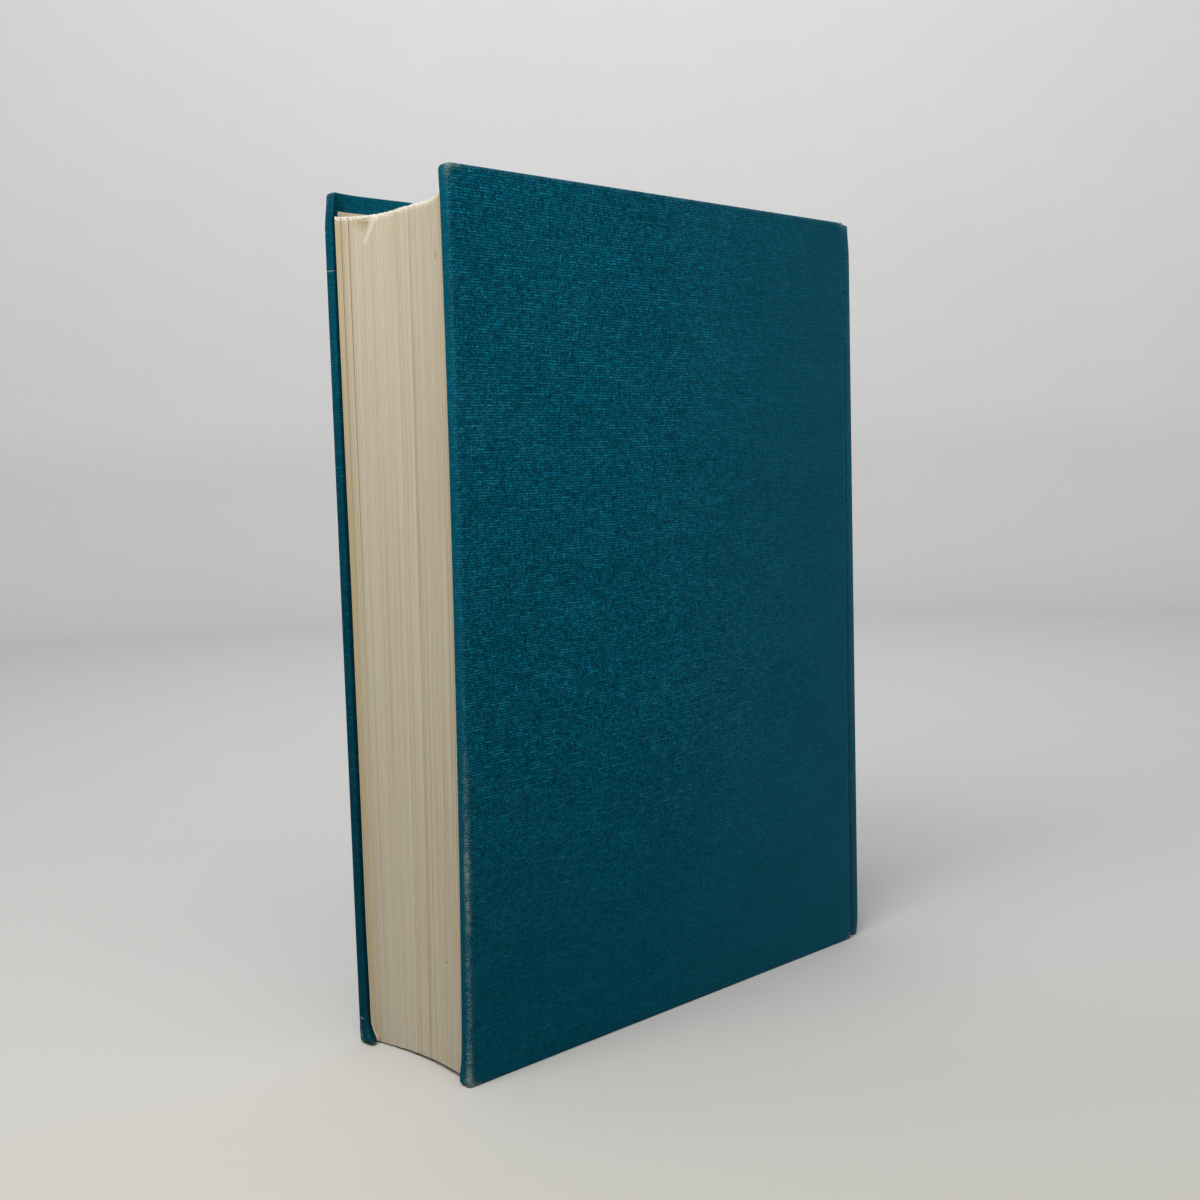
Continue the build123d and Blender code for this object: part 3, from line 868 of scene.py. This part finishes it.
def leaf_y(across, x, z):
    """Where a leaf lies across the block, with the shoulders spread over the back."""
    front, back = cover_y("front", x, z, BLOCK_IN), cover_y("back", x, z, BLOCK_IN)
    spread = SHOULDER_SPREAD * smooth(0.5, 4.5, JOINT_X - x) * (2 * across - 1) ** 3
    return front + across * (back - front) + spread


def spring(across, x, z):
    """How far the loose first leaves stand off the rest near the head."""
    along = np.clip((x - JOINT_X) / WIDTH, 0, 1) ** 1.5
    first = FIRST_SPRING * along * smooth(45, 225, z)
    second = SECOND_SPRING * along * smooth(20, 225, z)
    main = (first + second) * np.clip((1 - across) / (1 - LOOSE_B), 0, 1)
    return np.where(across < LOOSE_A, 0, np.where(across < LOOSE_B, first, main))


def leaf_fore(across, z):
    """Cut fore edge: hollow, deeper at the head, with small steps between sections."""
    up = z / HEIGHT
    setback = SETBACK - SETBACK_LESS * up
    hollow = (HOLLOW + HOLLOW_MORE * up) * 4 * across * (1 - across)
    mm_across = across * LEAF_STACK
    step = 0.10 * wander(mm_across, 1.5, 11) + 0.05 * wander(mm_across, 0.45, 12)
    wave = 0.05 * wander(z + 37 * wander(mm_across, 2.0, 13), 38, 14)
    return JOINT_X + WIDTH - setback - hollow + step + wave


def leaf_back(across):
    """Rounded back of the leaves."""
    return BACK_CREST_X + BACK_ROUND * (2 * across - 1) ** 2


def leaf_top(across, x):
    """Head of a leaf: sagging, uneven and a little ragged."""
    along = np.clip((x - JOINT_X) / WIDTH, 0, 1)
    ragged = 0.12 * wander(across * LEAF_STACK, 0.5, 21)
    uneven = 0.4 - 0.7 * across + np.interp(across, HEAD_STATIONS, HEAD_LIFT)
    return HEAD_Z - SAG * along + uneven * along + ragged


def leaf_bottom(across, x):
    """Tail of a leaf: sagging and a little ragged."""
    along = np.clip((x - JOINT_X) / WIDTH, 0, 1)
    mm_across = across * LEAF_STACK
    ragged = 0.06 * wander(mm_across, 0.5, 23) + 0.08 * wander(mm_across, 2.2, 24)
    return TAIL_Z - SAG * along + (1.4 * across - 0.7) * along + ragged


def outer_leaf(loop_x, loop_z):
    """Grid over a stack's outer leaf, from its outline: place numbers, then the inner points."""
    size = len(loop_x)
    grid = np.zeros((FORE_ROWS + 1, HEAD_STEPS + 1), int)
    grid[:, 0] = np.arange(FORE_ROWS + 1)
    grid[-1] = FORE_ROWS + np.arange(HEAD_STEPS + 1)
    grid[:, -1] = 2 * FORE_ROWS + HEAD_STEPS - np.arange(FORE_ROWS + 1)
    grid[0, 1:-1] = size - np.arange(1, HEAD_STEPS)
    fore, back = grid[1:-1, :1], grid[1:-1, -1:]
    inward = np.arange(1, HEAD_STEPS)[None, :] / HEAD_STEPS
    up = np.arange(1, FORE_ROWS)[:, None] / FORE_ROWS
    at_tail, at_head = 1 - (1 - inward) ** TAIL_SPACING, inward**HEAD_SPACING
    share = at_tail + (at_head - at_tail) * up
    inner_x = loop_x[fore] + (loop_x[back] - loop_x[fore]) * share
    inner_z = loop_z[fore] + (loop_z[back] - loop_z[fore]) * share
    grid[1:-1, 1:-1] = size + np.arange(share.size).reshape(share.shape)
    return grid, inner_x.ravel(), inner_z.ravel()


def creased(across, below):
    """Leaf corners pressed in beside a crease that runs down from the head."""
    width = np.clip(1 - below / CREASE_REACH, 0, 1)
    place = (across - CREASE_TIP - CREASE_DRIFT * width) / np.maximum(CREASE_SPREAD * width, CREASE_LEAST)
    pressed = smooth(-1.2, 0.0, place) * smooth(1.0, 0.0, place)
    return -CREASE_PRESS * pressed * smooth(0, 0.4, width)


def build_leaves(name, low, high, bands):
    """A stack of leaves as narrow bands, each cut a little differently."""
    edges = np.linspace(low, high, bands + 1)
    gap = BAND_GAP * (high - low) / bands
    loops = np.column_stack((edges[:-1] + gap, edges[1:] - gap)).ravel()
    lottery = np.repeat(rng.uniform(0, 1, bands), 2)
    jog = np.repeat(rng.normal(0, BAND_JOG, bands), 2)
    low_rows = np.linspace(0, 1 - TOP_SHARE, LOW_ROWS + 1)
    top_rows = np.linspace(1 - TOP_SHARE, 1, TOP_ROWS + 1)[1:]
    fore_up = np.concatenate((low_rows, top_rows))[None, :]
    inward = np.linspace(0, 1, HEAD_STEPS + 1)[None, :]
    head_in, tail_out = inward[:, 1:] ** HEAD_SPACING, inward[:, 1:-1] ** TAIL_SPACING
    t = loops[:, None]
    fore_low, fore_high = leaf_bottom(t, leaf_fore(t, 1.0)), leaf_top(t, leaf_fore(t, HEAD_Z))
    fore_z = fore_low + (fore_high - fore_low) * fore_up
    fore_x = leaf_fore(t, fore_z) + jog[:, None] + creased(t, fore_high - fore_z)
    spine_x = leaf_back(t)
    head_x = fore_x[:, -1:] + (spine_x - fore_x[:, -1:]) * head_in
    head_z = leaf_top(t, head_x)
    back_z = head_z[:, -1:] + (leaf_bottom(t, spine_x) - head_z[:, -1:]) * fore_up[:, 1:]
    back_x = np.repeat(spine_x, FORE_ROWS, axis=1)
    tail_x = spine_x + (fore_x[:, :1] - spine_x) * tail_out
    tail_z = leaf_bottom(t, tail_x)
    x = np.concatenate((fore_x, head_x, back_x, tail_x), axis=1)
    z = np.concatenate((fore_z, head_z, back_z, tail_z), axis=1)
    y = leaf_y(t, x, z) + spring(t, x, z)
    rows, size = x.shape
    verts = np.column_stack((x.ravel(), y.ravel(), z.ravel()))
    leaf = np.column_stack((np.repeat(loops, size), z.ravel(), np.repeat(lottery, size)))
    below = np.maximum(fore_high - z, 0)
    below[:, FORE_ROWS + 1:] = FAR_BELOW
    below = below.ravel()
    faces = tube_faces(rows, size)
    for row, flip in ((0, False), (rows - 1, True)):
        grid, inner_x, inner_z = outer_leaf(x[row], z[row])
        grid = np.where(grid < size, grid + row * size, grid - size + len(verts))
        inner_y = leaf_y(loops[row], inner_x, inner_z) + spring(loops[row], inner_x, inner_z)
        verts = np.concatenate((verts, np.column_stack((inner_x, inner_y, inner_z))))
        flat = np.full_like(inner_x, 1.0)
        leaf = np.concatenate((leaf, np.column_stack((loops[row] * flat, inner_z, lottery[row] * flat))))
        below = np.concatenate((below, FAR_BELOW * flat))
        for k in range(FORE_ROWS):
            for i in range(HEAD_STEPS):
                quad = [int(grid[k + dk, i + di]) for dk, di in ((0, 0), (1, 0), (1, 1), (0, 1))]
                faces.append(quad[::-1] if flip else quad)
    piece = make_piece(name, verts, faces, page_edges, {"leaf": leaf, "below": below}, shade_smooth=False)
    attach(piece, "book_block")
    return piece


def build_headband(name, head):
    """Bead of wound thread along the back of the leaves."""
    rings, around, turns = 260, 10, 42
    seat, rise, bead, ridge = 0.9, 0.55, 0.72, 0.07
    across = np.linspace(0.015, 0.985, rings)
    x = leaf_back(across) + seat
    surface = leaf_top(across, x) if head else leaf_bottom(across, x)
    sign = 1 if head else -1
    y = leaf_y(across, x, surface)
    z = surface + sign * rise
    wind = across * turns
    radius = bead + ridge * np.abs(np.sin(np.pi * wind))
    stripe = (np.floor(wind / 3) % 2)[:, None] * np.ones((1, around))
    angle = np.linspace(0, 2 * np.pi, around, endpoint=False)[None, :]
    verts = np.stack((
        x[:, None] + radius[:, None] * np.cos(angle),
        np.repeat(y[:, None], around, axis=1),
        z[:, None] + sign * radius[:, None] * np.sin(angle),
    ), axis=-1).reshape(-1, 3)
    faces = tube_faces(rings, around, flip=not head)
    ends = (list(range(around)), list(range(rings * around - 1, (rings - 1) * around - 1, -1)))
    faces += [end if head else end[::-1] for end in ends]
    piece = make_piece(name, verts, faces, thread, {"stripe": stripe.ravel()})
    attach(piece, "book_block")
    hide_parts(name.replace("_thread", ""))


for side in ("front", "back"):
    build_cover_cloth(side)
    build_panels(side)
    build_endpaper_fold(side)
build_spine()
block = build_leaves("leaves", LOOSE_B, 1.0, 250)
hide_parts("text_block")
build_leaves("loose_leaves_a", 0.0, LOOSE_A, 9)
build_leaves("loose_leaves_b", LOOSE_A, LOOSE_B, 14)
build_headband("headband_thread", True)
build_headband("tailband_thread", False)

# Solids shown as they are
carried = {"spine_inlay": greyboard, "mull": gauze, "spine_lining": lining}
for node, material in carried.items():
    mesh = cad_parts[node].data
    mesh.materials.clear()
    mesh.materials.append(material)


# Camera, solved from the book's edges in the photograph
AZIMUTH, ELEVATION, ROLL = (math.radians(a) for a in (136.58, 5.36, -1.68))
CAMERA_PLACE = Vector((324.24, 326.38, 165.09)) * MM
SENSOR, LENS = 36, 44.70
toward_camera = Vector((
    math.sin(AZIMUTH) * math.cos(ELEVATION),
    -math.cos(AZIMUTH) * math.cos(ELEVATION),
    math.sin(ELEVATION),
))
level_right = (-toward_camera).cross(Vector((0, 0, 1))).normalized()
level_up = level_right.cross(-toward_camera)
right = math.cos(ROLL) * level_right + math.sin(ROLL) * level_up
up = -math.sin(ROLL) * level_right + math.cos(ROLL) * level_up
camera_data = bpy.data.cameras.new("photo_camera")
camera_data.sensor_width = SENSOR
camera_data.lens = LENS
camera_data.clip_start = 0.01
camera = bpy.data.objects.new("photo_camera", camera_data)
bpy.context.scene.collection.objects.link(camera)
turn = Matrix((right, up, toward_camera)).transposed().to_4x4()
camera.matrix_world = Matrix.Translation(CAMERA_PLACE) @ turn
bpy.context.scene.camera = camera

view_ground = Vector((-toward_camera.x, -toward_camera.y, 0)).normalized()


def stage_material(name, wall, middle, near):
    """Pale painted board with faint cloudiness, warmer towards the camera."""
    s = Shader(name)
    cloud = s.noise(s.place(), 7, 4, 0.6)
    speck = s.noise(s.place(), 420, 2)
    reach = s.node("ShaderNodeVectorMath", operation="DOT_PRODUCT")
    s.feed(reach.inputs[0], s.place())
    reach.inputs[1].default_value = -view_ground
    high = s.split(s.place())[2]
    color = s.mix(s.span(high, 0.0, 0.22), middle, wall)
    color = s.mix(s.span(reach.outputs["Value"], -0.02, 0.20), color, near)
    color = s.mix(s.span(cloud, 0.3, 0.7, 0, 0.05), color, (0.45, 0.45, 0.45))
    color = s.mix(s.span(speck, 0.62, 0.8, 0, 0.15), color, (0.55, 0.54, 0.50))
    s.bump(cloud, 0.05, 0.5)
    return s.finish(color, s.span(cloud, 0.3, 0.7, 0.8, 0.9), 0.15)


# Round floor that turns up into a wall all about the book
STAGE_MIDDLE, STAGE_RADIUS, COVE, WALL_HEIGHT, SPOKES = 40.0, 1300.0, 160.0, 1400.0, 96
WALL_PAINT, FLOOR_PAINT, NEAR_PAINT = (0.78, 0.78, 0.785), (0.64, 0.64, 0.63), (0.61, 0.595, 0.54)
profile = [(r, 0.0) for r in np.linspace(STAGE_MIDDLE, STAGE_RADIUS - COVE, 24)]
for k in range(1, 13):
    a = math.pi / 2 * k / 12
    profile.append((STAGE_RADIUS - COVE + COVE * math.sin(a), COVE - COVE * math.cos(a)))
profile += [(STAGE_RADIUS, z) for z in np.linspace(COVE, WALL_HEIGHT, 10)[1:]]
spokes = np.linspace(0, 2 * math.pi, SPOKES, endpoint=False)
stage_points = [(r * math.cos(a), r * math.sin(a), z) for r, z in profile for a in spokes]
stage_faces = tube_faces(len(profile), SPOKES) + [list(range(SPOKES))]
floor = make_piece(
    "studio_floor", stage_points, stage_faces,
    stage_material("painted board", WALL_PAINT, FLOOR_PAINT, NEAR_PAINT),
)


def area_light(name, spot, target, size, power, color):
    """Square soft light that faces a target."""
    data = bpy.data.lights.new(name, "AREA")
    data.shape, data.size, data.energy, data.color = "SQUARE", size, power, color
    lamp = bpy.data.objects.new(name, data)
    bpy.context.scene.collection.objects.link(lamp)
    lamp.location = spot
    lamp.rotation_euler = (Vector(target) - Vector(spot)).to_track_quat("-Z", "Y").to_euler()


# Soft lights over the book: metres towards the camera, to its right and up, then size, watts and colour
LAMPS = {
    "key": (0.36, -0.20, 0.50, 0.42, 3.75, (1, 0.985, 0.96)),
    "fill": (0.50, 0.40, 0.70, 0.60, 1.55, (0.97, 0.985, 1)),
}
aim = Vector((0, 0, 0.15))
ground_toward = -view_ground
ground_right = Vector((level_right.x, level_right.y, 0)).normalized()
for name, (nearer, sideways, higher, size, power, color) in LAMPS.items():
    spot = aim + ground_toward * nearer + ground_right * sideways + Vector((0, 0, higher))
    area_light(name, spot, aim, size, power, color)
# Light on the wall behind the book
backdrop = view_ground * (STAGE_RADIUS * MM) + Vector((0, 0, 0.50))
area_light("wash", view_ground * 0.45 + Vector((0, 0, 1.05)), backdrop, 0.9, 6.0, (1, 1, 1))

world = bpy.data.worlds.new("studio")
world.use_nodes = True
background = world.node_tree.nodes["Background"]
background.inputs["Color"].default_value = (0.95, 0.97, 1, 1)
background.inputs["Strength"].default_value = 0.32
bpy.context.scene.world = world
bpy.context.scene.view_settings.view_transform = "Standard"
